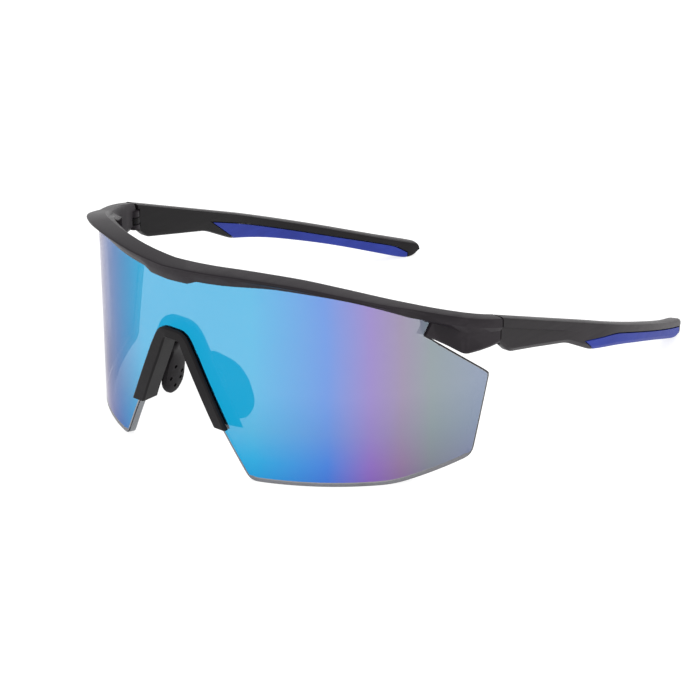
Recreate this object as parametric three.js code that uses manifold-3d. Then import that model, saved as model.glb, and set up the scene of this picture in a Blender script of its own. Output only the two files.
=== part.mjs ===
// Wraparound sport sunglasses: a one-piece shield lens hung under a brow bar, with folding temples.
// Millimetres. +Z is up, the wearer looks along -Y and the wearer's left is +X.
// While modelling, Y = 0 is the front of the lens and Z = 0 the surface that the glasses rest on:
// they stand on the lower edge of the lens and on the tips of both temples.

import * as THREE from 'three';
import { mergeVertices } from 'three/addons/utils/BufferGeometryUtils.js';
import Module from 'manifold-3d';

const wasm = await Module();
wasm.setup();

// ---- Clearances ----
const GAP = 0.3;                    // between two pieces that meet
const BORE_GAP = 0.3;               // round a pin in its bore, on the radius
const INSERT_FIT = 0.15;            // screw in its threaded insert, on the radius
const PARTING_SPREAD = 1.15;        // grip and temple meet on leaning faces, so the gap spreads
const GRIP_FRONT_SPREAD = 1.5;
const STEEPEST_SHIFT = 2.6;         // limit on the spread of a gap along a steep edge

// ---- Lens: a shield bent round an upright cylinder; "reach" is measured round its front face ----
const LENS_RADIUS = 67.5;
const LENS_THICKNESS = 2.2;
const LENS_FLAT_REACH = 62.6;       // where the straight lower edge ends
const LENS_LOW_REACH = 85.3;        // lower outer corner
const LENS_LOW_Z = 4.5;
const LENS_TIP_REACH = 90.6;        // upper outer corner
const LENS_TIP_Z = 27.5;
const LENS_NOTCH_REACH = 70.9;      // inner point of the notch beside the end lug
const LENS_NOTCH_Z = 42;
const LENS_NOTCH_SLOPE = 2.5;       // how far the notch's upper edge leans outward
const LENS_IN_GROOVE = 1.3;         // how far the upper edge rises into the brow bar

// ---- Nose opening in the lens ----
const NOSE_FOOT_HALF = 23.5;        // half width at the lower edge
const NOSE_KNEE_HALF = 15;
const NOSE_KNEE_Z = 14.2;
const NOSE_TOP_HALF = 3;
const NOSE_TOP_Z = 37;

// ---- Brow bar: heights of its top and of its lower lip at distances from the middle ----
const BROW_TOP_Z = 58.9;
const BROW_LIP_Z = 54.6;
const BUMP_HALF = 8;                // deeper middle stretch of the lip
const BUMP_EASE = 1.5;              // half the length of the bump's end slopes
const BUMP_DROP = 1;
const BUMP_PROUD = 0.15;
const BROW_ARC_REACH = 65;          // the bar follows the lens this far, then runs to the hinge
const BROW_FACE = 1.3;              // the lip stands this far in front of the lens face
const BROW_CREASE = 3.2;            // the crease along the top stands further out
const CREASE_CUT = 0.75;            // step back under the crease, over the nose
const CREASE_CUT_SIDE = 0.2;        // and toward the end lugs
const BROW_BACK = 4.4;              // depth behind the lens face, at the lip
const BROW_TOP_BACK = 2.1;          // depth behind the lens face, at the top
const RUN_OUT_EASE = 9;             // length over which the bar turns into the end lug
const LUG_SCOOP = 2;              // hollow in the lug's outer face

// ---- Hinge ----
const TEMPLE_X = 68.3;              // middle of the straight part of the temple
const TEMPLE_THICKNESS = 4.2;
const HINGE_Y = 52.3;               // split between end lug and temple
const HINGE_TOP_Z = 44.4;           // top edge at the split
const LUG_BOTTOM_Z = 37;            // lower edge of the lug at the split
const SWING_CLEARANCE = 0.35;       // between the folding arm's inner corner and the end lug
const HINGE_INSET = 1.3;            // the hinge axis lies this far inside the middle of the arm
const KNUCKLE_RADIUS = 1.7;
const EAR_HEIGHT = 1.5;
const UPPER_EAR_EXTRA = 0.2;        // the upper ear is taller, it holds the insert
const TONGUE_HEIGHT = 1.8;
const HINGE_BASE_Z = 36.6;          // underside of the lower ear
const SCREW_RADIUS = 0.55;
const SCREW_HEAD_RADIUS = 1;
const SCREW_HEAD_HEIGHT = 0.8;
const INSERT_RADIUS = 1.05;
const INSERT_HEIGHT = 0.9;

// ---- Temple ----
const TEMPLE_TIP_Y = 163.6;
const TEMPLE_TIP_Z = 4.95;          // top edge just before the rounded end
const TEMPLE_BEND_Y = 97;           // the straight part ends here
const TEMPLE_BEND_IN = 17.8;        // how far the tip comes in
const TEMPLE_CORNER_Y = 57;         // lower front corner
const TEMPLE_CORNER_Z = 32.6;
const TEMPLE_VALLEY_Y = 82;
const TEMPLE_VALLEY_Z = 27.3;
const GRIP_CORNER_Y = 93;
const GRIP_CORNER_Z = 21.7;
const GRIP_FRONT_Y = 83;            // the grip's pointed front, on the inner side
const GRIP_FRONT_Z = 30;
const GRIP_END_INSET = 4.1;         // the bare tip behind the grip
const GRIP_EXTRA = 0.2;             // the arm is thicker at the grip, on each side
const TIP_THINNING = 0.5;           // and thinner at its very end
const BAND_HEIGHT = 2.8;            // raised band along the top edge
const BAND_STEP = 0.7;
const BAND_END_Y = 90;

// ---- Nose bridge clip and pads ----
const CLIP_PROUD = 1.1;             // in front of the lens
const CLIP_DEPTH = 5.8;
const CLIP_LEG_WIDTH = 3.9;
const CLIP_FLANGE = 2.2;            // the flange behind the lens is this much wider
const CLIP_CORNER = 0.45;
const CLIP_BAR_Z = 37.8;            // middle of the cross bar
const CLIP_BAR_HEIGHT = 3.1;
const CLIP_BAR_HALF = 3.6;
const CLIP_FOOT_HALF = 15.2;
const CLIP_FOOT_Z = 14;
const WIRE_RADIUS = 0.5;
const WIRE_ROOT_Z = 33;             // where the wire leaves the leg
const PAD_TOP_WIDTH = 3.2;
const PAD_WIDTH = 8.8;
const PAD_THICKNESS = 2.8;
const PAD_NECK_DROP = 1.5;          // the pad starts this far below the wire's root
const PAD_NECK_ROUND = 0.08;        // shares of the pad's length where its ends stop and start to round
const PAD_ROUND_FROM = 0.77;
const PAD_LAST_TURN = 1.44;         // radians of the end's round that are drawn; the rest is a small flat
const PAD_MIDDLE_X = 10.25;         // the pad's middle line, from its neck downward
const PAD_MIDDLE_Z = 26.3;
const PAD_LOW_X = 12.6;
const PAD_LOW_Z = 18.4;
const PAD_END_X = 13.6;
const PAD_END_Z = 12.9;
const DIMPLE_RADIUS = 0.6;
const DIMPLE_DEPTH = 1;

const smooth = THREE.MathUtils.smoothstep;
const lerp = THREE.MathUtils.lerp;

// ---------------------------------------------------------------- curves

// Smooth height curve through points (x, value) with rising x.
function smoothCurve(points) {
  const slope = points.map((p, i) => {
    const a = points[Math.max(i - 1, 0)];
    const b = points[Math.min(i + 1, points.length - 1)];
    return (b[1] - a[1]) / (b[0] - a[0]);
  });
  return (x) => {
    if (x <= points[0][0]) return points[0][1];
    const last = points.length - 1;
    if (x >= points[last][0]) return points[last][1];
    const i = points.findIndex((p) => p[0] > x) - 1;
    const width = points[i + 1][0] - points[i][0];
    const t = (x - points[i][0]) / width;
    const a = points[i][1] * (1 + 2 * t) * (1 - t) ** 2 + slope[i] * width * t * (1 - t) ** 2;
    return a + points[i + 1][1] * t * t * (3 - 2 * t) - slope[i + 1] * width * t * t * (1 - t);
  };
}

// Corners [x, value, radius] joined by straight lines, each corner rounded by its radius.
function roundedLine(corners, steps = 4) {
  const out = [];
  corners.forEach(([x, z, radius], i) => {
    if (!radius || i === 0 || i === corners.length - 1) {
      out.push(new THREE.Vector2(x, z));
      return;
    }
    const at = new THREE.Vector2(x, z);
    const reachTo = (other) => {
      const way = new THREE.Vector2(other[0], other[1]).sub(at);
      return at.clone().add(way.setLength(Math.min(radius, way.length() * 0.45)));
    };
    const bend = new THREE.QuadraticBezierCurve(reachTo(corners[i - 1]), at, reachTo(corners[i + 1]));
    out.push(...bend.getPoints(steps));
  });
  return out;
}

function valueOn(line, x) {
  if (x <= line[0].x) return line[0].y;
  const i = line.findIndex((p) => p.x >= x);
  if (i < 0) return line[line.length - 1].y;
  const span = line[i].x - line[i - 1].x;
  return span < 1e-9 ? line[i].y : lerp(line[i - 1].y, line[i].y, (x - line[i - 1].x) / span);
}

// How far up a line has to move to stand "gap" away from itself where it slopes.
function upShift(line, x, gap) {
  const slope = (valueOn(line, x + 0.05) - valueOn(line, x - 0.05)) / 0.1;
  return gap * Math.min(Math.hypot(slope, 1), STEEPEST_SHIFT);
}

// Sorted stations from "from" to "to", holding the given marks and no step longer than "step".
function stations(from, to, step, marks = []) {
  const inside = marks.filter((m) => m > from && m < to);
  const fixed = [from, ...inside, to].sort((a, b) => a - b);
  const out = [from];
  for (let i = 1; i < fixed.length; i += 1) {
    const width = fixed[i] - fixed[i - 1];
    if (width < 0.05 && i < fixed.length - 1) continue;
    const start = out[out.length - 1];
    const count = Math.max(1, Math.ceil((fixed[i] - start) / step));
    for (let k = 1; k <= count; k += 1) out.push(lerp(start, fixed[i], k / count));
  }
  return out;
}

// ---------------------------------------------------------------- solids

// A closed skin over rings of points; both ends are capped. The rings may be concave.
function loft(rings) {
  const size = rings[0].length;
  const points = rings.flat();
  const position = new Float32Array(points.flatMap((p) => [p.x, p.y, p.z]));
  const index = [];
  for (let i = 0; i + 1 < rings.length; i += 1) {
    for (let k = 0; k < size; k += 1) {
      const a = i * size + k;
      const b = i * size + (k + 1) % size;
      index.push(a, b, b + size, a, b + size, a + size);
    }
  }
  const cap = (ring, offset, flip) => {
    const normal = new THREE.Vector3();
    ring.forEach((p, k) => normal.add(p.clone().cross(ring[(k + 1) % size])));
    normal.normalize();
    const along = ring[1].clone().sub(ring[0]).normalize();
    const across = normal.clone().cross(along);
    const flat = ring.map((p) => new THREE.Vector2(p.dot(along), p.dot(across)));
    THREE.ShapeUtils.triangulateShape(flat, []).forEach(([a, b, c]) => {
      index.push(...(flip ? [a, c, b] : [a, b, c]).map((n) => n + offset));
    });
  };
  cap(rings[0], 0, true);
  cap(rings[rings.length - 1], points.length - size, false);
  return facingOut(position, index);
}

function facingOut(position, index) {
  let volume = 0;
  const corner = (n) => new THREE.Vector3().fromArray(position, n * 3);
  for (let i = 0; i < index.length; i += 3) {
    volume += corner(index[i]).dot(corner(index[i + 1]).cross(corner(index[i + 2])));
  }
  if (volume < 0) {
    for (let i = 0; i < index.length; i += 3) {
      [index[i + 1], index[i + 2]] = [index[i + 2], index[i + 1]];
    }
  }
  const geometry = new THREE.BufferGeometry();
  geometry.setAttribute('position', new THREE.BufferAttribute(position, 3));
  geometry.setIndex(index);
  return geometry;
}

function solid(geometry) {
  const bare = geometry.clone();
  bare.deleteAttribute('normal');
  bare.deleteAttribute('uv');
  const merged = mergeVertices(bare, 1e-4);
  return new wasm.Manifold(new wasm.Mesh({
    numProp: 3,
    vertProperties: Float32Array.from(merged.attributes.position.array),
    triVerts: Uint32Array.from(merged.index.array),
  }));
}

function geometryOf(body) {
  const mesh = body.getMesh();
  const position = Float32Array.from(mesh.vertProperties);
  const geometry = new THREE.BufferGeometry();
  geometry.setAttribute('position', new THREE.BufferAttribute(position, 3));
  geometry.setIndex(Array.from(mesh.triVerts));
  return geometry;
}

function upright(radius, fromZ, toZ, x, y, sides = 20) {
  const geometry = new THREE.CylinderGeometry(radius, radius, toZ - fromZ, sides);
  return geometry.rotateX(Math.PI / 2).translate(x, y, (fromZ + toZ) / 2);
}

// A side-view outline (Y, Z) run right across the glasses.
function acrossPrism(shape) {
  const width = TEMPLE_X * 2 + 20;
  const prism = new THREE.ExtrudeGeometry(shape, { depth: width, bevelEnabled: false });
  const turn = new THREE.Matrix4().set(0, 0, 1, -width / 2, 1, 0, 0, 0, 0, 1, 0, 0, 0, 0, 0, 1);
  return prism.applyMatrix4(turn);
}

function mirrored(geometry) {
  const out = geometry.clone();
  out.scale(-1, 1, 1);
  const index = Array.from(out.index.array);
  for (let i = 0; i < index.length; i += 3) [index[i + 1], index[i + 2]] = [index[i + 2], index[i + 1]];
  out.setIndex(index);
  return out;
}

// ---------------------------------------------------------------- lens

// A point on an upright cylinder round the lens axis, "out" in front of the lens face.
function onLens(reach, out, z) {
  const angle = reach / LENS_RADIUS;
  const radius = LENS_RADIUS + out;
  return new THREE.Vector3(radius * Math.sin(angle), LENS_RADIUS - radius * Math.cos(angle), z);
}

const lensSag = (x) => LENS_RADIUS - Math.sqrt(LENS_RADIUS ** 2 - x * x);

const browLip = smoothCurve([
  [0, BROW_LIP_Z], [16, 55.35], [30, 56.2], [39, 55.5], [49, 53.8], [58, 51.2], [73, 45.4],
]);

const lensLower = roundedLine([
  [0, NOSE_TOP_Z],
  [NOSE_TOP_HALF, NOSE_TOP_Z, 1],
  [NOSE_KNEE_HALF, NOSE_KNEE_Z, 2],
  [NOSE_FOOT_HALF, 0, 2.2],
  [LENS_FLAT_REACH, 0, 4],
  [LENS_LOW_REACH, LENS_LOW_Z, 2.5],
  [LENS_TIP_REACH, LENS_TIP_Z - 1.2],
]);

const GROOVE_END = LENS_NOTCH_REACH + LENS_NOTCH_SLOPE;

const lensUpperTail = roundedLine([
  [GROOVE_END, browLip(GROOVE_END) + LENS_IN_GROOVE],
  [GROOVE_END + 0.1, lerp(LENS_NOTCH_Z, LENS_TIP_Z, 0.13)],
  [LENS_TIP_REACH - 1.2, LENS_TIP_Z + 0.9, 1],
  [LENS_TIP_REACH, LENS_TIP_Z - 0.2],
]);

function lensUpper(reach) {
  return reach <= GROOVE_END ? browLip(reach) + LENS_IN_GROOVE : valueOn(lensUpperTail, reach);
}

// The lens sheet, made larger by "swell" on every face for the grooves that hold it.
function lensSheet(swell) {
  const marks = [...lensLower, ...lensUpperTail].map((p) => p.x);
  const half = stations(0, LENS_TIP_REACH, 3.4, marks);
  const reaches = [...half.slice(1).reverse().map((s) => -s), ...half];
  return loft(reaches.map((reach) => {
    const s = Math.abs(reach);
    const low = valueOn(lensLower, s) - upShift(lensLower, s, swell);
    const high = lensUpper(s) + swell;
    const back = -LENS_THICKNESS - swell;
    return [onLens(reach, swell, low), onLens(reach, swell, high), onLens(reach, back, high),
      onLens(reach, back, low)];
  }));
}

// The undercut of the notch: a wedge through both sides of the lens.
function notchWedge(grow) {
  const point = onLens(LENS_NOTCH_REACH, 0, LENS_NOTCH_Z);
  const upper = onLens(GROOVE_END, 0, browLip(GROOVE_END) + LENS_IN_GROOVE);
  const lower = onLens(LENS_TIP_REACH, 0, LENS_TIP_Z);
  const across = (lower.y - point.y) * 0.3;
  const shape = new THREE.Shape([
    new THREE.Vector2(point.y - grow, point.z),
    new THREE.Vector2(point.y + across, lerp(point.z, lower.z, 0.3)),
    new THREE.Vector2(upper.y + across, upper.z + 3),
    new THREE.Vector2(upper.y - grow, upper.z + 0.5),
  ]);
  return acrossPrism(shape);
}

function lensBody(swell) {
  return solid(lensSheet(swell)).subtract(solid(notchWedge(-swell)));
}

// ---------------------------------------------------------------- brow bar

const arcEnd = onLens(BROW_ARC_REACH, 0, 0);
const arcAngle = BROW_ARC_REACH / LENS_RADIUS;
const arcWay = new THREE.Vector2(Math.cos(arcAngle), Math.sin(arcAngle));
const runOut = new THREE.CubicBezierCurve(
  new THREE.Vector2(arcEnd.x, arcEnd.y),
  new THREE.Vector2(arcEnd.x, arcEnd.y).addScaledVector(arcWay, RUN_OUT_EASE),
  new THREE.Vector2(TEMPLE_X - 0.6, HINGE_Y - RUN_OUT_EASE),
  new THREE.Vector2(TEMPLE_X, HINGE_Y - GAP / 2),
);
const BROW_REACH = BROW_ARC_REACH + runOut.getLength();

// A point beside the middle line of the bar: "out" to the front, "z" up.
function onBrow(reach, out, z) {
  const side = Math.sign(reach) || 1;
  const s = Math.abs(reach);
  if (s <= BROW_ARC_REACH) return onLens(reach, out, z);
  const t = (s - BROW_ARC_REACH) / (BROW_REACH - BROW_ARC_REACH);
  const at = runOut.getPointAt(Math.min(t, 1));
  const way = runOut.getTangentAt(Math.min(t, 1));
  return new THREE.Vector3(side * (at.x + out * way.y), at.y - out * way.x, z);
}

const browTop = smoothCurve([
  [0, BROW_TOP_Z], [12, 59.3], [24, 59.5], [38, 58.4], [50, 55.9], [61, 52.8], [72, 49.6],
  [BROW_REACH - 9, 46.7], [BROW_REACH, HINGE_TOP_Z],
]);
const creaseDrop = smoothCurve([[0, 0.7], [14, 0.55], [30, 0.5], [BROW_REACH, 0.5]]);
const LUG_START = LENS_NOTCH_REACH - 0.6;
const lugLower = roundedLine([
  [LUG_START, browLip(LUG_START)],
  [LUG_START + 0.4, LENS_NOTCH_Z],
  [BROW_REACH - 10.5, 36, 1.2],
  [BROW_REACH, LUG_BOTTOM_Z],
]);

function browSection(reach) {
  const s = Math.abs(reach);
  const lug = smooth(s, 56, 73);                       // 0 along the lens, 1 at the end lug
  const bump = 1 - smooth(s, BUMP_HALF - BUMP_EASE, BUMP_HALF + BUMP_EASE);
  const top = browTop(s);
  const backLip = s < LUG_START ? browLip(s) : valueOn(lugLower, s);
  const lip = backLip - BUMP_DROP * bump;
  const scoop = smooth(s, 68, 72) * (1 - smooth(s, 76, 83));
  const outer = TEMPLE_THICKNESS / 2;
  const face = lerp(BROW_FACE, outer - BAND_STEP, lug) - LUG_SCOOP * scoop + BUMP_PROUD * bump;
  const crease = lerp(BROW_CREASE, outer, lug);
  const creaseZ = top - creaseDrop(s);
  const cut = lerp(lerp(CREASE_CUT, CREASE_CUT_SIDE, smooth(s, 20, 42)), 0, lug);
  const under = crease - 0.1 * (1 - lug) - cut;
  const bandZ = lerp(lerp(creaseZ, lip, 0.55), top - BAND_HEIGHT, lug);
  const bandOut = lerp(lerp(under, face, 0.4), outer, lug);
  const stepOut = lerp(lerp(under, face, 0.6), face, lug);
  const stepDrop = lerp(0.06, 0.4, lug) * (bandZ - lip);
  const back = lerp(BROW_BACK, outer, smooth(s, 72, 86));
  const backTop = lerp(BROW_TOP_BACK, outer - 0.6, lug);
  return [
    [-lerp(BROW_TOP_BACK + 0.8, outer, lug), top - 1.3],
    [-lerp(BROW_TOP_BACK + 0.35, outer - 0.15, lug), top - 0.45],
    [-backTop, top],
    [crease - 0.9, creaseZ + 0.38],
    [crease - 0.22, creaseZ + 0.16],
    [crease, creaseZ - 0.15],
    [crease - 0.06 * (1 - lug), creaseZ - 0.4],
    [under, creaseZ - 0.55],
    [under, creaseZ - 0.9],
    [bandOut, bandZ],
    [stepOut, bandZ - stepDrop * 0.6],
    [face + 0.02, lip + 0.7],
    [face - 0.35, lip],
    [-back + 0.6, backLip + 0.5 * (1 - lug)],
    [-back, backLip + 1.1],
  ].map(([out, z]) => onBrow(reach, out, z));
}

function knuckle(fromZ, toZ, radius) {
  return solid(upright(radius, fromZ, toZ, hinge.x, hinge.y));
}

const hinge = {
  x: TEMPLE_X - HINGE_INSET,
  y: HINGE_Y,
  lowerTop: HINGE_BASE_Z + EAR_HEIGHT,
  tongueBase: HINGE_BASE_Z + EAR_HEIGHT + GAP,
  tongueTop: HINGE_BASE_Z + EAR_HEIGHT + GAP + TONGUE_HEIGHT,
  upperBase: HINGE_BASE_Z + EAR_HEIGHT + TONGUE_HEIGHT + 2 * GAP,
};
hinge.top = hinge.upperBase + EAR_HEIGHT + UPPER_EAR_EXTRA;

// What the hinge takes out of the end lug on the wearer's left: room for the tongue, screw and insert.
function hingeRoom() {
  const insertTop = hinge.upperBase + 0.2 + INSERT_HEIGHT;
  return knuckle(hinge.tongueBase - GAP, hinge.tongueTop + GAP, KNUCKLE_RADIUS + GAP)
    .add(knuckle(HINGE_BASE_Z - 1, hinge.upperBase + 0.2, SCREW_RADIUS + BORE_GAP))
    .add(knuckle(HINGE_BASE_Z - 1, HINGE_BASE_Z + SCREW_HEAD_HEIGHT, SCREW_HEAD_RADIUS + BORE_GAP))
    .add(knuckle(hinge.upperBase - 0.1, insertTop + GAP, INSERT_RADIUS + GAP));
}

function bothSides(body) {
  return body.add(solid(mirrored(geometryOf(body))));
}

function frontFrame() {
  const bumpEnds = [-1, 0, 1].map((k) => BUMP_HALF + k * BUMP_EASE);
  const marks = [...bumpEnds, ...lugLower.map((p) => p.x)];
  const half = stations(0, BROW_REACH, 4, marks);
  const reaches = [...half.slice(1).reverse().map((s) => -s), ...half];
  const bar = solid(loft(reaches.map(browSection)));
  const ears = knuckle(HINGE_BASE_Z, hinge.lowerTop, KNUCKLE_RADIUS)
    .add(knuckle(hinge.upperBase, hinge.top, KNUCKLE_RADIUS));
  return bar.add(bothSides(ears)).subtract(bothSides(hingeRoom())).subtract(lensBody(GAP))
    .subtract(bothSides(solid(notchOutlook()).subtract(solid(notchWedge(-GAP)))));
}

// The lens and the open space in front of it beside the notch, so the lug follows the lens edge.
function notchOutlook() {
  const reaches = stations(LUG_START - 2, LENS_TIP_REACH, 3, [GROOVE_END, GROOVE_END + 0.1]);
  return loft(reaches.map((reach) => {
    const high = reach <= GROOVE_END ? browLip(reach) : lensUpper(reach) + GAP;
    const out = TEMPLE_THICKNESS * 2;
    return [[-LENS_THICKNESS, high - 12], [out, high - 12], [out, high], [-LENS_THICKNESS, high]]
      .map(([w, z]) => onLens(reach, w, z));
  }));
}

// ---------------------------------------------------------------- hinge hardware

function hingeScrew() {
  const head = HINGE_BASE_Z + SCREW_HEAD_HEIGHT - BORE_GAP;
  const profile = [
    [0, HINGE_BASE_Z + 0.35], [0.35, HINGE_BASE_Z + 0.35], [0.35, HINGE_BASE_Z],
    [SCREW_HEAD_RADIUS - 0.2, HINGE_BASE_Z], [SCREW_HEAD_RADIUS, HINGE_BASE_Z + 0.2],
    [SCREW_HEAD_RADIUS, head], [SCREW_RADIUS, head],
    [SCREW_RADIUS, hinge.upperBase + INSERT_HEIGHT - 0.2], [0, hinge.upperBase + INSERT_HEIGHT],
  ].map(([r, z]) => new THREE.Vector2(r, z));
  const geometry = new THREE.LatheGeometry(profile, 16).rotateX(Math.PI / 2);
  return solid(geometry.translate(hinge.x, hinge.y, 0));
}

function hingeInsert() {
  const low = hinge.upperBase + 0.2;
  const ring = (radius, z) => new THREE.Vector2(radius, z);
  const bore = SCREW_RADIUS + INSERT_FIT;
  const profile = [
    ring(bore, low), ring(INSERT_RADIUS, low), ring(INSERT_RADIUS, low + INSERT_HEIGHT),
    ring(bore, low + INSERT_HEIGHT), ring(bore, low),
  ];
  const geometry = new THREE.LatheGeometry(profile, 16).rotateX(Math.PI / 2);
  return solid(geometry.translate(hinge.x, hinge.y, 0));
}

// ---------------------------------------------------------------- temple

// A place between the grip's lower corner (0) and the tip (1).
const onArm = (share) => lerp(GRIP_CORNER_Y, TEMPLE_TIP_Y, share);

const templeTop = smoothCurve([
  [HINGE_Y, HINGE_TOP_Z], [HINGE_Y + 13.7, 39.5], [GRIP_CORNER_Y - 5, 31.8], [onArm(0.21), 24.5],
  [onArm(0.5), 16.9], [onArm(0.8), 8.9],
  [TEMPLE_TIP_Y - 3, TEMPLE_TIP_Z],
]);
const tipRound = roundedLine([
  [TEMPLE_TIP_Y - 3, TEMPLE_TIP_Z],
  [TEMPLE_TIP_Y - 0.2, TEMPLE_TIP_Z - 1, 1.6],
  [TEMPLE_TIP_Y, TEMPLE_TIP_Z - 2.6],
]);
const templeLower = roundedLine([
  [HINGE_Y, LUG_BOTTOM_Z],
  [TEMPLE_CORNER_Y, TEMPLE_CORNER_Z, 1.6],
  [TEMPLE_VALLEY_Y, TEMPLE_VALLEY_Z, 2],
  [GRIP_CORNER_Y, GRIP_CORNER_Z, 2.2],
  [onArm(0.21), 18.2, 8],
  [onArm(0.55), 10.2, 10],
  [TEMPLE_TIP_Y - 8, 0.9, 3],
  [TEMPLE_TIP_Y - 5, 0, 1],
  [TEMPLE_TIP_Y - 2.2, 0, 1.2],
  [TEMPLE_TIP_Y, 1.8],
]);

function templeMiddle(y) {
  const t = Math.max(0, (y - TEMPLE_BEND_Y) / (TEMPLE_TIP_Y - TEMPLE_BEND_Y));
  return TEMPLE_X - TEMPLE_BEND_IN * t ** 1.6;
}

// A point beside the temple's middle line on the wearer's left: "out" away from the head.
function onTemple(y, out, z) {
  const slope = (templeMiddle(y + 0.01) - templeMiddle(y - 0.01)) / 0.02;
  const length = Math.hypot(slope, 1);
  return new THREE.Vector3(templeMiddle(y) + out / length, y - out * slope / length, z);
}

function templeSection(y) {
  const top = y <= TEMPLE_TIP_Y - 3 ? templeTop(y) : valueOn(tipRound, y);
  const low = valueOn(templeLower, y);
  const height = top - low;
  const extra = GRIP_EXTRA * smooth(y, GRIP_FRONT_Y, GRIP_CORNER_Y + 17);
  const thinning = TIP_THINNING * smooth(y, TEMPLE_TIP_Y - 4, TEMPLE_TIP_Y);
  const half = TEMPLE_THICKNESS / 2 + extra - thinning;
  const step = BAND_STEP * (1 - smooth(y, BAND_END_Y - 25, BAND_END_Y));
  const edge = Math.min(0.8, height * 0.28);
  const band = Math.min(BAND_HEIGHT, height * 0.45);
  const foot = Math.min(1.2, height * 0.25);
  return [
    [-half, top - edge], [-half + 0.3, top - edge * 0.3], [-half + 0.9, top],
    [half - 0.8, top], [half - 0.25, top - edge * 0.3], [half, top - edge],
    [half, top - band], [half - step, top - band - 0.25 * edge],
    [half - step, low + foot], [half - step - 0.7, low + 0.2 * foot], [half - step - 1.1, low],
    [-half + 0.8, low], [-half + 0.2, low + 0.3 * foot], [-half, low + foot],
  ].map(([out, z]) => onTemple(y, out, z));
}

function templeBlank() {
  const marks = [...templeLower, ...tipRound].map((p) => p.x);
  return solid(loft(stations(HINGE_Y + GAP / 2, TEMPLE_TIP_Y, 5, marks).map(templeSection)));
}

// Parting faces between temple and grip: heights on the outer and inner side of the arm.
const GRIP_END_Y = TEMPLE_TIP_Y - GRIP_END_INSET;
const gripOuter = roundedLine([
  [GRIP_FRONT_Y - 4, 25], [GRIP_CORNER_Y - 3, 25.6, 1], [onArm(0.17), 23, 4], [onArm(0.41), 17, 6],
  [GRIP_END_Y, 3.2],
]);
const gripInner = roundedLine([
  [GRIP_FRONT_Y - 4, 31.6], [onArm(0.1), 24.8, 6], [onArm(0.33), 19, 8], [onArm(0.58), 12.5, 8],
  [onArm(0.88), 5, 2], [GRIP_END_Y, 2],
]);

// The space of the grip: under the sloping parting face and behind a slanted front edge.
function gripSpace(gap) {
  const reach = TEMPLE_THICKNESS;
  const marks = [...gripOuter, ...gripInner].map((p) => p.x);
  const under = loft(stations(GRIP_FRONT_Y - 4, GRIP_END_Y - gap, 5, marks).map((y) => {
    const inner = valueOn(gripInner, y) - upShift(gripInner, y, gap * PARTING_SPREAD);
    const outer = valueOn(gripOuter, y) - upShift(gripOuter, y, gap * PARTING_SPREAD);
    const rise = (inner - outer) / 2;
    return [
      onTemple(y, reach, -GAP), onTemple(y, reach, outer - rise), onTemple(y, reach / 2, outer),
      onTemple(y, -reach / 2, inner), onTemple(y, -reach, inner + rise), onTemple(y, -reach, -GAP),
    ];
  }));
  const back = gap * GRIP_FRONT_SPREAD;
  const shape = new THREE.Shape([
    new THREE.Vector2(GRIP_FRONT_Y + back, GRIP_FRONT_Z + 2 * GAP),
    new THREE.Vector2(GRIP_CORNER_Y + 1 + back, GRIP_CORNER_Z - 0.2),
    new THREE.Vector2(GRIP_CORNER_Y + 1 + back, -2 * GAP),
    new THREE.Vector2(TEMPLE_TIP_Y, -2 * GAP),
    new THREE.Vector2(TEMPLE_TIP_Y, GRIP_FRONT_Z + 2 * GAP),
  ]);
  return solid(under).intersect(solid(acrossPrism(shape)));
}

// The inner front corner of the arm, cut away so that it clears the end lug while folding.
function swingRoom() {
  const innerX = TEMPLE_X - TEMPLE_THICKNESS / 2;
  const outerX = hinge.x + GAP / 2;
  const depth = hinge.x - innerX + SWING_CLEARANCE;
  const width = outerX - innerX + 2;
  const height = HINGE_TOP_Z - TEMPLE_CORNER_Z + 4;
  const block = new THREE.BoxGeometry(width, depth + 1, height);
  return block.translate(outerX - width / 2, hinge.y + (depth - 1) / 2, HINGE_TOP_Z + 2 - height / 2);
}

function temple() {
  const tongue = knuckle(hinge.tongueBase, hinge.tongueTop, KNUCKLE_RADIUS);
  const earRoom = knuckle(HINGE_BASE_Z - 5, hinge.tongueBase, KNUCKLE_RADIUS + GAP)
    .add(knuckle(hinge.tongueTop, hinge.top + GAP, KNUCKLE_RADIUS + GAP));
  const bore = knuckle(HINGE_BASE_Z - 5, hinge.tongueTop + GAP, SCREW_RADIUS + BORE_GAP);
  return templeBlank().subtract(earRoom).subtract(solid(swingRoom())).add(tongue)
    .subtract(bore).subtract(gripSpace(0));
}

function templeGrip() {
  return templeBlank().intersect(gripSpace(GAP));
}

// ---------------------------------------------------------------- nose bridge and pads

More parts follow.
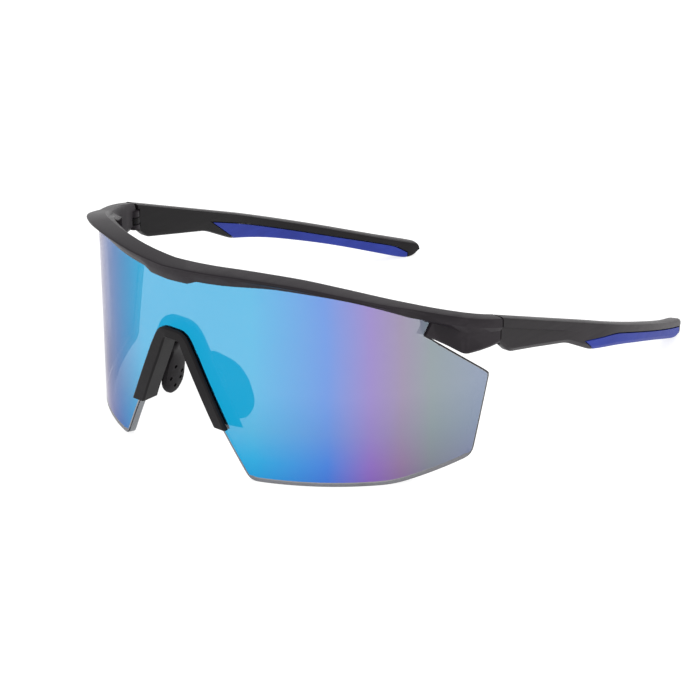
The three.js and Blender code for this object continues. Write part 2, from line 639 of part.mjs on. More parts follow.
function noseBridge() {
  const half = roundedLine([
    [0, CLIP_BAR_Z], [CLIP_BAR_HALF, CLIP_BAR_Z, 2], [CLIP_FOOT_HALF, CLIP_FOOT_Z],
  ]);
  const leg = [];
  const last = half[half.length - 2];
  for (let k = 1; k <= 5; k += 1) leg.push(last.clone().lerp(half[half.length - 1], k / 5));
  const right = [...half.slice(0, -1), ...leg];
  const path = [...right.slice(1).reverse().map((p) => new THREE.Vector2(-p.x, p.y)), ...right];
  const rings = path.map((p, i) => {
    const before = path[Math.max(i - 1, 0)];
    const after = path[Math.min(i + 1, path.length - 1)];
    const way = after.clone().sub(before).normalize();
    const square = new THREE.Vector2(-way.y, way.x);
    const foot = i === 0 || i === path.length - 1;
    const up = foot ? new THREE.Vector2(Math.sign(square.x) * Math.hypot(1, way.x / way.y), 0) : square;
    const wide = lerp(CLIP_BAR_HEIGHT, CLIP_LEG_WIDTH, smooth(Math.abs(p.x), 2.5, 6.5)) / 2;
    const front = lensSag(p.x) - CLIP_PROUD;
    const corner = CLIP_CORNER;
    const seat = CLIP_PROUD + LENS_THICKNESS + GAP;
    return [
      [wide - corner, 0], [wide, corner], [wide, seat], [wide + CLIP_FLANGE, seat],
      [wide + CLIP_FLANGE, CLIP_DEPTH - 1], [wide, CLIP_DEPTH],
      [-wide + corner, CLIP_DEPTH], [-wide, CLIP_DEPTH - corner], [-wide, corner], [-wide + corner, 0],
    ].map(([a, y]) => new THREE.Vector3(p.x + up.x * a, front + y, p.y + up.y * a));
  });
  const sockets = bothSides(solid(wireSolid(BORE_GAP)));
  return solid(loft(rings)).subtract(lensBody(GAP)).subtract(sockets);
}

// The wire leaves the back of a leg straight backward, then bends down into the pad.
const rootShare = (CLIP_BAR_Z - WIRE_ROOT_Z) / (CLIP_BAR_Z - CLIP_FOOT_Z);
const wireRootX = lerp(CLIP_BAR_HALF, CLIP_FOOT_HALF, rootShare);
const clipBackY = CLIP_DEPTH - CLIP_PROUD + lensSag(wireRootX);
const padFrontY = clipBackY + PAD_WIDTH / 2;
const padMiddle = new THREE.Vector3(PAD_MIDDLE_X, padFrontY + 1.4, PAD_MIDDLE_Z);
const padLow = new THREE.Vector3(PAD_LOW_X, padFrontY + 2.7, PAD_LOW_Z);

function wireLine(extra) {
  return new THREE.CatmullRomCurve3([
    new THREE.Vector3(wireRootX, clipBackY - 1.7 - extra, WIRE_ROOT_Z),
    new THREE.Vector3(wireRootX, clipBackY + 0.4, WIRE_ROOT_Z),
    new THREE.Vector3(wireRootX + 0.9, clipBackY + 2.2, WIRE_ROOT_Z - 1.2),
    padMiddle,
    padLow.clone().setZ(PAD_LOW_Z - extra),
  ]);
}

// The bendable wire; with "gap" it is the room that the wire takes in the clip and the pad.
function wireSolid(gap) {
  const shape = new THREE.Shape();
  shape.absarc(0, 0, WIRE_RADIUS + gap, 0, Math.PI * 2, false);
  return new THREE.ExtrudeGeometry(shape, {
    steps: 12, curveSegments: 5, bevelEnabled: false, extrudePath: wireLine(gap),
  });
}

// Middle line of a pad, from its neck behind the leg down to its round end.
const padLine = new THREE.CatmullRomCurve3([
  new THREE.Vector3(wireRootX + 0.6, clipBackY + 2.1, WIRE_ROOT_Z - PAD_NECK_DROP),
  padMiddle,
  padLow,
  new THREE.Vector3(PAD_END_X, padFrontY + 3, PAD_END_Z),
]);
const padOut = new THREE.Vector3(0.97, -0.12, 0.2).normalize();

// Places along the pad and how much of its full width it has there: both ends are round.
function padPlaces() {
  const places = [[0, 0.5], [PAD_NECK_ROUND * 0.3, 0.8]];
  const straight = 9;
  for (let i = 0; i <= straight; i += 1) places.push([lerp(PAD_NECK_ROUND, PAD_ROUND_FROM, i / straight), 1]);
  const turns = 6;
  for (let i = 1; i <= turns; i += 1) {
    const angle = i / turns * PAD_LAST_TURN;
    places.push([lerp(PAD_ROUND_FROM, 1, Math.sin(angle)), Math.cos(angle)]);
  }
  return places;
}

function nosePad() {
  const rings = [];
  for (const [t, round] of padPlaces()) {
    const at = padLine.getPointAt(t);
    const way = padLine.getTangentAt(t);
    const wideWay = way.clone().cross(padOut).normalize();
    const thickWay = wideWay.clone().cross(way).normalize();
    const wide = lerp(PAD_TOP_WIDTH, PAD_WIDTH, smooth(t, 0.02, 0.66)) / 2 * round;
    const thick = PAD_THICKNESS / 2 * Math.sqrt(round);
    const ring = [];
    for (let k = 0; k < 12; k += 1) {
      const a = k / 12 * Math.PI * 2;
      const power = (v) => Math.sign(v) * Math.abs(v) ** 0.7;
      const across = wideWay.clone().multiplyScalar(wide * power(Math.cos(a)));
      ring.push(at.clone().add(across).addScaledVector(thickWay, thick * power(Math.sin(a))));
    }
    rings.push(ring);
  }
  const pocket = solid(wireSolid(BORE_GAP));
  return solid(loft(rings)).subtract(pocket).subtract(dimples());
}

// Five small round dimples in the face that rests on the nose.
function dimples() {
  const places = [[0.56, 0.1], [0.7, -0.26], [0.72, 0.28], [0.79, -0.2], [0.87, 0.05]];
  return places.map(([t, side]) => {
    const at = padLine.getPointAt(t);
    const way = padLine.getTangentAt(t);
    const wideWay = way.clone().cross(padOut).normalize();
    const thickWay = wideWay.clone().cross(way).normalize();
    const inward = thickWay.x > 0 ? thickWay.clone().negate() : thickWay;
    const start = at.clone().addScaledVector(wideWay, side * PAD_WIDTH);
    const far = start.clone().addScaledVector(inward, PAD_THICKNESS / 2 + 1);
    const near = start.clone().addScaledVector(inward, PAD_THICKNESS / 2 - DIMPLE_DEPTH * 0.5);
    const drill = new THREE.CylinderGeometry(DIMPLE_RADIUS, DIMPLE_RADIUS, far.distanceTo(near), 8);
    drill.applyQuaternion(new THREE.Quaternion().setFromUnitVectors(new THREE.Vector3(0, 1, 0), inward));
    const middle = near.clone().lerp(far, 0.5);
    return solid(drill.translate(middle.x, middle.y, middle.z));
  }).reduce((all, one) => all.add(one));
}

// ---------------------------------------------------------------- assembly

const finish = {
  frame: { color: 0x3e393d, roughness: 0.5, metalness: 0 },
  lens: { color: 0x4a8fd8, roughness: 0.06, metalness: 0.5 },
  clip: { color: 0x1b191c, roughness: 0.45, metalness: 0 },
  pad: { color: 0x2a272b, roughness: 0.7, metalness: 0 },
  grip: { color: 0x3440ac, roughness: 0.65, metalness: 0 },
  steel: { color: 0x9a9ca0, roughness: 0.35, metalness: 1 },
  brass: { color: 0xb59a5a, roughness: 0.4, metalness: 1 },
};

const glasses = new THREE.Group();
const placed = new THREE.Group();
glasses.add(placed);

function addPiece(name, geometry, look) {
  const mesh = new THREE.Mesh(geometry, new THREE.MeshStandardMaterial(finish[look]));
  mesh.name = name;
  placed.add(mesh);
}

function addPair(name, body, look) {
  const geometry = geometryOf(body);
  addPiece(`${name}_left`, geometry, look);
  addPiece(`${name}_right`, mirrored(geometry), look);
}

addPiece('front_frame', geometryOf(frontFrame()), 'frame');
addPiece('lens', geometryOf(lensBody(0)), 'lens');
addPiece('nose_bridge', geometryOf(noseBridge()), 'clip');
addPair('nose_pad', nosePad(), 'pad');
addPair('nose_wire', solid(wireSolid(0)), 'steel');
addPair('temple', temple(), 'frame');
addPair('temple_grip', templeGrip(), 'grip');
addPair('hinge_screw', hingeScrew(), 'steel');
addPair('hinge_insert', hingeInsert(), 'brass');

// The origin is at the middle of the box's underside.
const box = new THREE.Box3().setFromObject(placed);
placed.position.y = -(box.min.y + box.max.y) / 2;

export default glasses;
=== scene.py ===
"""Looks of the wraparound sport sunglasses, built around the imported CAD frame. Metres, same frame."""

import math

import bmesh
import bpy
import numpy as np
from mathutils import Matrix, Vector
from mathutils.geometry import delaunay_2d_cdt


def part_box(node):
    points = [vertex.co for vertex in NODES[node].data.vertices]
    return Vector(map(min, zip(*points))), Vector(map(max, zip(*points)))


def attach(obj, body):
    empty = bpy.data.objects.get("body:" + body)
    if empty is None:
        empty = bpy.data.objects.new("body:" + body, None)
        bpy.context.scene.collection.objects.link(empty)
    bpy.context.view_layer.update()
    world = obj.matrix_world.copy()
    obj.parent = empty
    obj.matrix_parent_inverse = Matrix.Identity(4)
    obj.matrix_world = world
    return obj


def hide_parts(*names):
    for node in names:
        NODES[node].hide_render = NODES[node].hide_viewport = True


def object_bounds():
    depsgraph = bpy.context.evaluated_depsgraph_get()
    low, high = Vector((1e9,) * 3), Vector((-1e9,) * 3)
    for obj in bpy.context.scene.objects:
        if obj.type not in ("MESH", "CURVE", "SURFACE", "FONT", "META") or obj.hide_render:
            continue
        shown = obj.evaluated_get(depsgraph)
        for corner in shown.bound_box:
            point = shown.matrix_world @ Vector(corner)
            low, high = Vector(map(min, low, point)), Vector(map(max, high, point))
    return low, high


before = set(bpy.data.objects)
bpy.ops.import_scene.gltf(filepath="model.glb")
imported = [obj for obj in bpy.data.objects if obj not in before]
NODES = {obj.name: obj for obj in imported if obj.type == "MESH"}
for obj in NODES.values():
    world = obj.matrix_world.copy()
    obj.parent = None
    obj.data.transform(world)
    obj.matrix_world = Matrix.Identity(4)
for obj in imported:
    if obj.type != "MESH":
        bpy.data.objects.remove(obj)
cad_low, cad_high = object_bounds()

MM = 0.001

# ---- Lens: an upright cylinder sheet ----
LENS_RADIUS = 67.5 * MM
LENS_THICKNESS = 2.2 * MM
LENS_AXIS_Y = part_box("lens")[0].y + LENS_RADIUS
LENS_CHAMFER = 0.24 * MM
LENS_ENDS = 50 * MM                # the walls outside this half width are the shield's two ends,
LENS_NOTCH = 41 * MM               # and those above this height face the frame's lugs
RIM_LEAST = 0.12 * MM              # uncoated strip round the front face: least width,
RIM_BELOW = 0.95 * MM              # what it gains along the lower edge,
RIM_NOSE = 0.35 * MM               # and along the nose opening
NOSE_HALF = 26 * MM                # the nose opening lies inside this half width
OUTLINE_STEP = 0.7 * MM            # spacing of points along the lens outlines
GRID_SPACING = (2.2 * MM, 3.2 * MM)     # round the lens, and in height
BORDER_IN_TWO = 1.9 * MM           # longer border edges of the CAD lens are cut in two,
BORDER_IN_THREE = 2.6 * MM         # and those past this length in three
WELD_DISTANCE = 0.003 * MM

ARM_LENGTH = cad_high.y - cad_low.y
PAINTED_LIGHT_FROM = 0.4                 # painted light: the arms grow lighter behind this share of that length

FLOOR_HALF = 6.0
FLOOR_DROP = 0.02 * MM             # keeps the floor just clear of the glasses

# ---- Camera: the direction, distance and opening that show the glasses as they stand ----
CAMERA_AZIMUTH = 0.715             # radians from the front, toward the wearer's left
CAMERA_ELEVATION = 0.403
CAMERA_ROLL = -0.008
CAMERA_DISTANCE = 749.661 * MM
CAMERA_TARGET = Vector((0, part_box("lens")[0].y + 59.7 * MM, 30 * MM))
CAMERA_SLIDE = (8.032 * MM, -15.222 * MM)
CAMERA_LENS = 136.338


# ---------------------------------------------------------------- materials

def new_material(name):
    """A material with an empty Principled shader, and short ways to add nodes to it."""
    mat = bpy.data.materials.new(name)
    mat.use_nodes = True
    tree = mat.node_tree
    shader = tree.nodes["Principled BSDF"]

    def add(kind, **settings):
        node = tree.nodes.new("ShaderNode" + kind)
        for key, value in settings.items():
            if key in node.inputs:
                node.inputs[key].default_value = value
            else:
                setattr(node, key, value)
        return node

    def link(a, b):
        tree.links.new(a, b)

    return mat, shader, add, link


def value(node, name, number):
    node.inputs[name].default_value = number


def ramp_node(add, stops):
    node = add("ValToRGB")
    elements = node.color_ramp.elements
    while len(elements) < len(stops):
        elements.new(0.5)
    for element, (at, colour) in zip(elements, stops):
        element.position = at
        element.color = (*colour, 1)
    return node


def grey(v):
    return (v, v, v)


def srgb(r, g, b):
    """A colour given as 0-255 display values, in the renderer's linear values."""
    def one(c):
        c /= 255
        return c / 12.92 if c <= 0.04045 else ((c + 0.055) / 1.055) ** 2.4
    return (one(r), one(g), one(b))


def mix_colour(add, link, factor, a, b, mode="MIX"):
    node = add("MixRGB", blend_type=mode)
    for socket, source in zip(node.inputs, (factor, a, b)):
        if isinstance(source, (int, float)):
            socket.default_value = source
        elif isinstance(source, tuple):
            socket.default_value = (*source, 1)
        else:
            link(source, socket)
    return node.outputs[0]


def math_node(add, link, kind, *inputs):
    node = add("Math", operation=kind)
    for socket, source in zip(node.inputs, inputs):
        if isinstance(source, (int, float)):
            socket.default_value = source
        else:
            link(source, socket)
    return node.outputs[0]


def noise_node(add, link, where, scale, detail=2.0, rough=0.5):
    node = add("TexNoise", Scale=scale, Detail=detail, Roughness=rough)
    link(where, node.inputs["Vector"])
    return node.outputs["Fac"]


def plastic(name, dark, light, rough, grain, grain_depth, specular, rub_and_highlight=0.35, painted_light_back=1.0, inside=1.0):
    """Moulded plastic or rubber. handled is how much painted light lightens it at its back end,
    and inside is how much of its tone is left on faces turned toward the head, where shade is painted."""
    mat, shader, add, link = new_material(name)
    place = add("TexCoord")
    where = place.outputs["Object"]
    fine = noise_node(add, link, where, grain, 3.0, 0.6)
    cloud = noise_node(add, link, where, 70.0, 4.0, 0.55)
    stretched = add("Mapping")
    stretched.inputs["Scale"].default_value = (900, 60, 900)
    link(where, stretched.inputs["Vector"])
    rubbed = noise_node(add, link, stretched.outputs[0], 1.0, 2.0, 0.5)

    tone = ramp_node(add, [(0.3, dark), (0.7, light)])
    link(cloud, tone.inputs[0])
    # rubbed edge wear and painted highlight: convex edges lightened, most along the rubbed streaks
    edge = ramp_node(add, [(0.51, grey(0)), (0.58, grey(1))])
    sharpness = add("NewGeometry").outputs["Pointiness"]
    link(sharpness, edge.inputs[0])
    rubbed_and_highlit = math_node(add, link, "MULTIPLY", edge.outputs[0], rubbed)
    rubbed_and_highlit = math_node(add, link, "MULTIPLY", rubbed_and_highlit, rub_and_highlight)
    lighter = tuple(min(1.0, c * 2.2 + 0.012) for c in light)
    colour = mix_colour(add, link, rubbed_and_highlit, tone.outputs[0], lighter)
    # painted shade: colour darkened in creases and hollows, where the surface curves inward
    painted_crease_shade = ramp_node(add, [(0.41, grey(0.1)), (0.475, grey(1))])
    link(sharpness, painted_crease_shade.inputs[0])
    colour = mix_colour(add, link, 1.0, colour, painted_crease_shade.outputs[0], "MULTIPLY")
    # painted light: the colour grows lighter toward the back end of the arms
    if painted_light_back != 1.0:
        parts = add("SeparateXYZ")
        link(where, parts.inputs[0])
        start = -cad_low.y / ARM_LENGTH - PAINTED_LIGHT_FROM
        along = math_node(add, link, "MULTIPLY_ADD", parts.outputs["Y"], 1 / ARM_LENGTH, start)
        painted_light_ramp = ramp_node(add, [(0.0, grey(1 / painted_light_back)), (0.6, grey(1))])
        link(math_node(add, link, "MULTIPLY_ADD", cloud, 0.1, along), painted_light_ramp.inputs[0])
        colour = mix_colour(add, link, 1.0, colour, painted_light_ramp.outputs[0], "MULTIPLY")
    # painted shade: faces turned toward the head darkened to the inside share of the tone
    if inside != 1.0:
        parts = add("SeparateXYZ")
        link(where, parts.inputs[0])
        facing = add("SeparateXYZ")
        link(place.outputs["Normal"], facing.inputs[0])
        side = math_node(add, link, "SIGN", parts.outputs["X"])
        outward = math_node(add, link, "MULTIPLY", side, facing.outputs["X"])
        painted_inner_shade = ramp_node(add, [(0.25, grey(inside)), (0.5, grey(1))])
        link(math_node(add, link, "MULTIPLY_ADD", outward, 0.5, 0.5), painted_inner_shade.inputs[0])
        colour = mix_colour(add, link, 1.0, colour, painted_inner_shade.outputs[0], "MULTIPLY")
    link(colour, shader.inputs["Base Color"])

    uneven = math_node(add, link, "MULTIPLY_ADD", cloud, 0.16, rough - 0.08)
    uneven = math_node(add, link, "SUBTRACT", uneven, math_node(add, link, "MULTIPLY", rubbed_and_highlit, 0.25))
    link(uneven, shader.inputs["Roughness"])
    value(shader, "Specular IOR Level", specular)

    bump = add("Bump", Strength=0.35, Distance=grain_depth)
    link(fine, bump.inputs["Height"])
    link(bump.outputs[0], shader.inputs["Normal"])
    return mat


def metal(name, dark, light, rough):
    mat, shader, add, link = new_material(name)
    where = add("TexCoord").outputs["Object"]
    cloud = noise_node(add, link, where, 900.0, 3.0, 0.6)
    tone = ramp_node(add, [(0.35, dark), (0.65, light)])
    link(cloud, tone.inputs[0])
    link(tone.outputs[0], shader.inputs["Base Color"])
    link(math_node(add, link, "MULTIPLY_ADD", cloud, 0.2, rough - 0.1), shader.inputs["Roughness"])
    value(shader, "Metallic", 1.0)
    bump = add("Bump", Strength=0.2, Distance=0.01 * MM)
    link(cloud, bump.inputs["Height"])
    link(bump.outputs[0], shader.inputs["Normal"])
    return mat


# The mirror's colours, partly the coating's own tint and partly painted reflection, and the angle round
# the lens at which each is purest, in degrees toward the wearer's left.
SKY = (0.01, 0.45, 0.78)
ROYAL = (0.05, 0.24, 0.75)
DUSK = (0.06, 0.25, 0.58)
VIOLET = (0.25, 0.16, 0.55)
LILAC = (0.26, 0.2, 0.36)
SAGE = (0.2, 0.27, 0.3)
STEEL = (0.19, 0.26, 0.4)
COATING_TINT_AND_PAINTED_REFLECTION = [
    (-90, STEEL), (-65, SAGE), (-42, LILAC), (-24, DUSK), (-11, SKY),
    (21, SKY), (38, ROYAL), (48, VIOLET), (55, LILAC), (62, SAGE), (75, STEEL),
]
# Painted shade toward the lower edge: height, share of its colour kept, and how solid it is.
LOWER_EDGE_PAINTED_SHADE = [
    (2 * MM, (0.85, 0.68, 0.79), 0.96), (7 * MM, (0.95, 0.80, 0.84), 0.93),
    (16 * MM, (0.88, 0.88, 0.88), 0.77), (27 * MM, (1, 1, 1), 0.68),
]
COATING_TALL = 50 * MM


def coating():
    """The mirror coating: its colour, partly painted reflection, turns with the angle round the lens, and
    painted shade deepens it toward the lower edge.
    """
    mat, shader, add, link = new_material("lens_mirror")
    where = add("TexCoord").outputs["Object"]
    parts = add("SeparateXYZ")
    link(where, parts.inputs[0])
    front = math_node(add, link, "SUBTRACT", LENS_AXIS_Y, parts.outputs["Y"])
    angle = math_node(add, link, "ARCTAN2", parts.outputs["X"], front)
    waves = noise_node(add, link, where, 45.0, 2.0, 0.5)
    angle = math_node(add, link, "MULTIPLY_ADD", waves, 0.03, angle)
    share = math_node(add, link, "MULTIPLY_ADD", angle, 1 / math.pi, 0.5 - 0.015 / math.pi)
    # coating tint and painted reflection, set by the angle round the lens
    first = ramp_node(add, [((a + 90) / 180, c) for a, c in COATING_TINT_AND_PAINTED_REFLECTION])
    link(share, first.inputs[0])
    height = math_node(add, link, "MULTIPLY_ADD", waves, 1.5 * MM, parts.outputs["Z"])
    level = math_node(add, link, "MULTIPLY", height, 1 / COATING_TALL)
    # painted shade: the mirror's colour darkened and made more solid toward the lower edge
    kept = ramp_node(add, [(z / COATING_TALL, c) for z, c, _ in LOWER_EDGE_PAINTED_SHADE])
    solid = ramp_node(add, [(z / COATING_TALL, grey(a)) for z, _, a in LOWER_EDGE_PAINTED_SHADE])
    link(level, kept.inputs[0])
    link(level, solid.inputs[0])
    colour = mix_colour(add, link, 1.0, first.outputs[0], kept.outputs[0], "MULTIPLY")
    link(colour, shader.inputs["Base Color"])
    link(solid.outputs[0], shader.inputs["Alpha"])
    haze = noise_node(add, link, where, 160.0, 4.0, 0.6)
    link(math_node(add, link, "MULTIPLY_ADD", haze, 0.05, 0.02), shader.inputs["Roughness"])
    value(shader, "Metallic", 1.0)
    value(shader, "Specular Tint", (0.7, 0.68, 0.75, 1))
    return mat


def smoke(name, dark, light, alpha, rough, specular=0.5):
    """Smoke-tinted polycarbonate."""
    mat, shader, add, link = new_material(name)
    where = add("TexCoord").outputs["Object"]
    cloud = noise_node(add, link, where, 120.0, 3.0, 0.5)
    tone = ramp_node(add, [(0.3, dark), (0.7, light)])
    link(cloud, tone.inputs[0])
    link(tone.outputs[0], shader.inputs["Base Color"])
    link(math_node(add, link, "MULTIPLY_ADD", cloud, 0.06, rough), shader.inputs["Roughness"])
    value(shader, "IOR", 1.58)
    value(shader, "Specular IOR Level", specular)
    value(shader, "Alpha", alpha)
    return mat


FRONT_PLASTIC = plastic(
    "front_plastic", (0.009, 0.0065, 0.0095), (0.014, 0.0105, 0.0135), 0.46, 2600, 0.02 * MM, 0.2)
ARM_PLASTIC = plastic(
    "arm_plastic", (0.015, 0.0115, 0.0145), (0.023, 0.018, 0.0215), 0.48, 2600, 0.02 * MM, 0.18,
    painted_light_back=2.0, inside=0.3)
CLIP_PLASTIC = plastic(
    "clip_plastic", (0.003, 0.0024, 0.003), (0.006, 0.005, 0.006), 0.5, 2600, 0.015 * MM, 0.16)
PAD_RUBBER = plastic(
    "pad_rubber", (0.004, 0.003, 0.004), (0.008, 0.006, 0.008), 0.62, 3200, 0.015 * MM, 0.16, 0.2)
GRIP_RUBBER = plastic(
    "grip_rubber", (0.014, 0.026, 0.22), (0.022, 0.040, 0.28), 0.6, 3200, 0.02 * MM, 0.2, 0.2)
STEEL = metal("hinge_steel", srgb(120, 122, 126), srgb(165, 167, 172), 0.32)
WIRE_METAL = metal("wire_metal", (0.012, 0.012, 0.013), (0.03, 0.03, 0.032), 0.42)
BRASS = metal("insert_brass", srgb(170, 140, 80), srgb(200, 172, 108), 0.34)
LENS_MIRROR = coating()
LENS_RIM = smoke("lens_rim", srgb(84, 84, 94), srgb(104, 104, 114), 0.5, 0.08)
LENS_EDGE = smoke("lens_edge", srgb(70, 76, 84), srgb(100, 106, 112), 0.8, 0.12)
LENS_LINE = smoke("lens_line", srgb(12, 12, 20), srgb(24, 24, 34), 0.96, 0.3, 0.12)
LENS_BACK = smoke("lens_back", (0.07, 0.042, 0.03), (0.10, 0.06, 0.045), 0.6, 0.06)
LENS_NOTCH_WALL = smoke("lens_notch_wall", (0.05, 0.055, 0.02), (0.08, 0.085, 0.035), 0.86, 0.3, 0.0)


# ---------------------------------------------------------------- pieces from CAD solids

def welded(node):
    """The node's mesh with its points joined."""
    bm = bmesh.new()
    bm.from_mesh(NODES[node].data)
    bmesh.ops.remove_doubles(bm, verts=bm.verts, dist=WELD_DISTANCE)
    return bm


def piece_from(bm, name, body, node, materials):
    mesh = bpy.data.meshes.new(name)
    points = [v.co[:] for v in bm.verts]
    bm.verts.index_update()
    mesh.from_pydata(points, [], [[v.index for v in f.verts] for f in bm.faces])
    mesh.polygons.foreach_set("material_index", [f.material_index for f in bm.faces])
    bm.free()
    for material in materials:
        mesh.materials.append(material)
    mesh.polygons.foreach_set("use_smooth", [True] * len(mesh.polygons))
    obj = bpy.data.objects.new(name, mesh)
    bpy.context.scene.collection.objects.link(obj)
    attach(obj, body)
    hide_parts(node)
    return obj


def soften(obj, width, angle, segments):
    """Rounded edges, and smooth shading between them."""
    bevel = obj.modifiers.new("edges", "BEVEL")
    bevel.width = width
    bevel.segments = segments
    bevel.limit_method = "ANGLE"
    bevel.angle_limit = math.radians(angle)
    bevel.harden_normals = True
    bevel.use_clamp_overlap = True
    bevel.miter_outer = "MITER_ARC"
    obj.data.set_sharp_from_angle(angle=math.radians(angle))


def moulded_piece(node, name, body, material, width, angle, segments):
    """A CAD solid's own shape with its edges rounded."""
    bm = welded(node)
    bmesh.ops.dissolve_limit(bm, angle_limit=math.radians(0.8), verts=bm.verts, edges=bm.edges)
    obj = piece_from(bm, name, body, node, [material])
    soften(obj, width, angle, segments)


# ---------------------------------------------------------------- lens

def unrolled(co, radius):
    """Distance round the lens and height of a point, on the given radius."""
    return np.array((radius * math.atan2(co.x, LENS_AXIS_Y - co.y), co.z))


def rolled(point, radius):
    angle = point[0] / radius
    return Vector((radius * math.sin(angle), LENS_AXIS_Y - radius * math.cos(angle), point[1]))


def rim_loop(bm, radius):
    """The faces on the cylinder of that radius, and the points round them in order."""
    near = 0.06 * MM

    def on(v):
        return abs(math.hypot(v.co.x, v.co.y - LENS_AXIS_Y) - radius) < near

    faces = {f for f in bm.faces if all(on(v) for v in f.verts)}
    rim = {e for e in bm.edges if sum(f in faces for f in e.link_faces) == 1}
    start = min(rim, key=lambda e: (e.verts[0].co.x, e.verts[0].co.z))
    loop, edge, at = [start.verts[0]], start, start.verts[1]
    while at is not loop[0]:
        loop.append(at)
        edge = next(e for e in at.link_edges if e in rim and e is not edge)
        at = edge.other_vert(at)
    return faces, rim, loop


def signed_area(points):
    x, y = points[:, 0], points[:, 1]
    return 0.5 * float(np.sum(x * np.roll(y, -1) - np.roll(x, -1) * y))


def inset_corners(points, distance):
    """Each corner of a counter-clockwise outline moved inward by the same distance from its two sides."""
    ahead = np.roll(points, -1, 0) - points
    ahead /= np.linalg.norm(ahead, axis=1, keepdims=True)
    inward = np.stack((-ahead[:, 1], ahead[:, 0]), 1)
    before = np.roll(inward, 1, 0)
    total = inward + before
    scale = distance / np.maximum(1 + np.sum(inward * before, 1), 0.35)
    return points + total * scale[:, None]


def dense(points, step):
    out = []
    for a, b in zip(points, np.roll(points, -1, 0)):
        count = max(1, math.ceil(np.linalg.norm(b - a) / step))
        out += [a + (b - a) * k / count for k in range(count)]
    return np.array(out)


def smooth_step(x, low, high):
    t = np.clip((x - low) / (high - low), 0, 1)
    return t * t * (3 - 2 * t)


def coated_outline(points, step):
    """The outline of the coated area: inside the bare strip, which is widest along the lower edge."""
    fine = dense(points, step)
    ahead = np.roll(fine, -1, 0) - fine
    middle = fine + ahead / 2
    ahead /= np.linalg.norm(ahead, axis=1, keepdims=True)
    inward = np.stack((-ahead[:, 1], ahead[:, 0]), 1)
    below = smooth_step(inward[:, 1], 0.75, 0.92)
    nose = smooth_step(inward[:, 1], 0.3, 0.45) * (1 - below) * (np.abs(middle[:, 0]) < NOSE_HALF)
    strip = RIM_LEAST + RIM_BELOW * below + RIM_NOSE * nose
    moved = middle + inward * strip[:, None]
    reach = np.sqrt(((moved[:, None] - middle[None]) ** 2).sum(2)) / strip[None]
    kept = moved[reach.min(1) > 0.97]
    spaced = [kept[0]]
    for p in kept[1:]:
        if np.linalg.norm(p - spaced[-1]) > step * 0.9:
            spaced.append(p)
    return np.array(spaced)


def inside(outline, points):
    x, y = points[:, 0][:, None], points[:, 1][:, None]
    x1, y1 = outline[:, 0], outline[:, 1]
    x2, y2 = np.roll(x1, -1), np.roll(y1, -1)
    cross = ((y1 > y) != (y2 > y)) & (x < (x2 - x1) * (y - y1) / np.where(y2 == y1, 1, y2 - y1) + x1)
    return cross.sum(1) % 2 == 1


def fill_face(bm, edge_verts, outline, radius, materials):
    """Fills a lens face with even triangles: materials[0] where coated, materials[1] on the bare strip."""
    strip = len(materials) > 1
    loops = [outline] + ([coated_outline(outline, OUTLINE_STEP)] if strip else [])
    low, high = outline.min(0), outline.max(0)
    counts = np.ceil((high - low) / np.array(GRID_SPACING)).astype(int)
    lines = [np.linspace(low[i], high[i], counts[i] + 1) for i in (0, 1)]
    grid = np.stack(np.meshgrid(*lines), -1).reshape(-1, 2)
    border = dense(loops[-1], OUTLINE_STEP)
    clear = np.sqrt(((grid[:, None] - border[None]) ** 2).sum(2)).min(1) > 0.8 * MM
    grid = grid[clear & inside(loops[-1], grid)]
    points = np.concatenate(loops + [grid])
    edges, start = [], 0
    for loop in loops:
        count = len(loop)
        edges += [(start + i, start + (i + 1) % count) for i in range(count)]
        start += count
    verts2d, _, tris, came_from, _, _ = delaunay_2d_cdt(
        [Vector(p / MM) for p in points], edges, [], 0, 1e-5)
    flat = np.array([v[:] for v in verts2d]) * MM
    made = []
    for i, sources in enumerate(came_from):
        rim = [s for s in sources if s < len(edge_verts)]
        made.append(edge_verts[rim[0]] if rim else bm.verts.new(rolled(flat[i], radius)))
    centres = np.array([flat[list(t)].mean(0) for t in tris])
    within = inside(outline, centres)
    coated = inside(loops[-1], centres) if strip else within
    for t, ok, coat in zip(tris, within, coated):
        if ok and len({made[i] for i in t}) == 3:
            face = bm.faces.new([made[i] for i in t])
            face.material_index = materials[0] if coat else materials[-1]


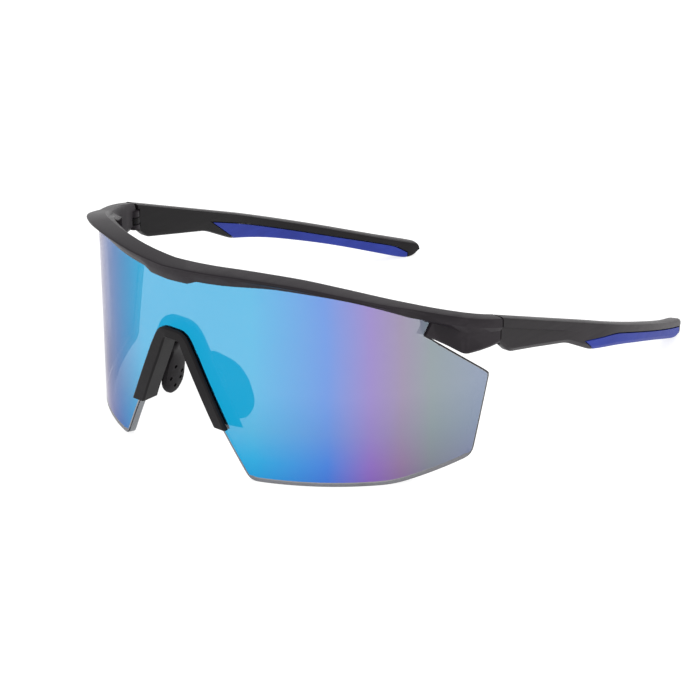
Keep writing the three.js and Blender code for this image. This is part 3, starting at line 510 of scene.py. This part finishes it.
def lens_piece():
    """The shield rebuilt on the CAD solid's own outline: finer round the curve, with polished chamfers."""
    bm = welded("lens")
    bmesh.ops.dissolve_limit(bm, angle_limit=math.radians(0.3), verts=bm.verts, edges=bm.edges)
    mirror, rim, edge, line, back, notch = range(6)
    sides = ((LENS_RADIUS, -1), (LENS_RADIUS - LENS_THICKNESS, 1))
    for face in bm.faces:
        middle = face.calc_center_median()
        if abs(middle.x) < LENS_ENDS or face.normal.z < -0.5:
            face.material_index = edge
        else:
            face.material_index = notch if middle.z > LENS_NOTCH else back
    for radius, _ in sides:
        _, borders, _ = rim_loop(bm, radius)
        long = [e for e in borders if e.calc_length() > BORDER_IN_TWO]
        for count in (2, 1):
            in_three = count == 2
            chosen = [e for e in long if e.is_valid and (e.calc_length() > BORDER_IN_THREE) == in_three]
            bmesh.ops.bisect_edges(bm, edges=chosen, cuts=count)
    for radius, toward in sides:
        faces, _, loop = rim_loop(bm, radius)
        flat = np.array([unrolled(v.co, radius) for v in loop])
        if signed_area(flat) < 0:
            loop, flat = loop[::-1], flat[::-1]
        bmesh.ops.delete(bm, geom=list(faces), context="FACES_KEEP_BOUNDARY")
        inner = inset_corners(flat, LENS_CHAMFER)
        verts = [bm.verts.new(rolled(p, radius)) for p in inner]
        for v, p in zip(loop, flat):
            v.co = rolled(p, radius + toward * LENS_CHAMFER)
        for i in range(len(loop)):
            j = (i + 1) % len(loop)
            chamfer = bm.faces.new((loop[i], loop[j], verts[j], verts[i]))
            chamfer.material_index = line if toward < 0 else back
        fill_face(bm, verts, inner, radius, (mirror, rim) if toward < 0 else (back,))
    bmesh.ops.recalc_face_normals(bm, faces=bm.faces)
    materials = [LENS_MIRROR, LENS_RIM, LENS_EDGE, LENS_LINE, LENS_BACK, LENS_NOTCH_WALL]
    obj = piece_from(bm, "lens_shield", "front", "lens", materials)
    obj.data.set_sharp_from_angle(angle=math.radians(30))


# ---------------------------------------------------------------- the glasses

lens_piece()
moulded_piece("front_frame", "brow_bar", "front", FRONT_PLASTIC, 0.16 * MM, 24, 3)
moulded_piece("nose_bridge", "nose_clip", "front", CLIP_PLASTIC, 0.3 * MM, 26, 3)
for side in ("left", "right"):
    arm, pad = "temple_arm_" + side, "pad_" + side
    moulded_piece("temple_" + side, "temple_shell_" + side, arm, ARM_PLASTIC, 0.2 * MM, 24, 3)
    moulded_piece("temple_grip_" + side, "rubber_grip_" + side, arm, GRIP_RUBBER, 0.25 * MM, 24, 3)
    moulded_piece("nose_pad_" + side, "soft_pad_" + side, pad, PAD_RUBBER, 0.15 * MM, 40, 2)
    moulded_piece("nose_wire_" + side, "pad_arm_" + side, pad, WIRE_METAL, 0.05 * MM, 60, 1)
    for node, material in (("hinge_screw_", STEEL), ("hinge_insert_", BRASS)):
        mesh = NODES[node + side].data
        mesh.materials.clear()
        mesh.materials.append(material)

# ---------------------------------------------------------------- stage, light and camera


def stage_floor():
    mat, shader, add, link = new_material("studio_floor")
    where = add("TexCoord").outputs["Object"]
    tone = ramp_node(add, [(0.3, grey(0.33)), (0.7, grey(0.36))])
    link(noise_node(add, link, where, 3.0), tone.inputs[0])
    link(tone.outputs[0], shader.inputs["Base Color"])
    value(shader, "Roughness", 0.9)
    value(shader, "Specular IOR Level", 0.0)
    value(shader, "Emission Color", (1, 1, 1, 1))
    value(shader, "Emission Strength", 0.8)
    mesh = bpy.data.meshes.new("studio_floor")
    half = FLOOR_HALF
    corners = [(-half, -half, 0), (half, -half, 0), (half, half, 0), (-half, half, 0)]
    mesh.from_pydata(corners, [], [(0, 1, 2, 3)])
    mesh.materials.append(mat)
    floor = bpy.data.objects.new("studio_floor", mesh)
    floor.location.z = cad_low.z - FLOOR_DROP
    bpy.context.scene.collection.objects.link(floor)


def soft_box(name, at, aim, size, power):
    light = bpy.data.lights.new(name, "AREA")
    light.shape = "RECTANGLE"
    light.size, light.size_y = size
    light.energy = power
    obj = bpy.data.objects.new(name, light)
    obj.location = at
    obj.rotation_euler = (Vector(aim) - Vector(at)).to_track_quat("-Z", "Y").to_euler()
    bpy.context.scene.collection.objects.link(obj)


def studio():
    world = bpy.data.worlds.new("studio")
    world.use_nodes = True
    sky = world.node_tree.nodes["Background"]
    sky.inputs["Color"].default_value = (1, 1, 1, 1)
    sky.inputs["Strength"].default_value = 1.0
    bpy.context.scene.world = world
    middle = (0, -0.02, 0.03)
    soft_box("overhead_box", (0.05, 0.1, 0.9), middle, (0.9, 0.9), 2.5)
    soft_box("front_box", (0.2, -1.1, 0.5), middle, (0.8, 0.5), 1)
    bpy.context.scene.view_settings.view_transform = "Standard"
    bpy.context.scene.view_settings.look = "None"


def camera():
    sin_a, cos_a = math.sin(CAMERA_AZIMUTH), math.cos(CAMERA_AZIMUTH)
    sin_e, cos_e = math.sin(CAMERA_ELEVATION), math.cos(CAMERA_ELEVATION)
    back = Vector((sin_a * cos_e, -cos_a * cos_e, sin_e))
    level = Vector((cos_a, sin_a, 0))
    up = back.cross(level)
    turn = math.cos(CAMERA_ROLL), math.sin(CAMERA_ROLL)
    right, top = turn[0] * level + turn[1] * up, turn[0] * up - turn[1] * level
    data = bpy.data.cameras.new("camera")
    data.lens = CAMERA_LENS
    data.sensor_width = 36
    obj = bpy.data.objects.new("camera", data)
    place = CAMERA_TARGET + back * CAMERA_DISTANCE + right * CAMERA_SLIDE[0] + top * CAMERA_SLIDE[1]
    obj.matrix_world = Matrix((right, top, back)).transposed().to_4x4()
    obj.matrix_world.translation = place
    bpy.context.scene.collection.objects.link(obj)
    bpy.context.scene.camera = obj


stage_floor()
studio()
camera()
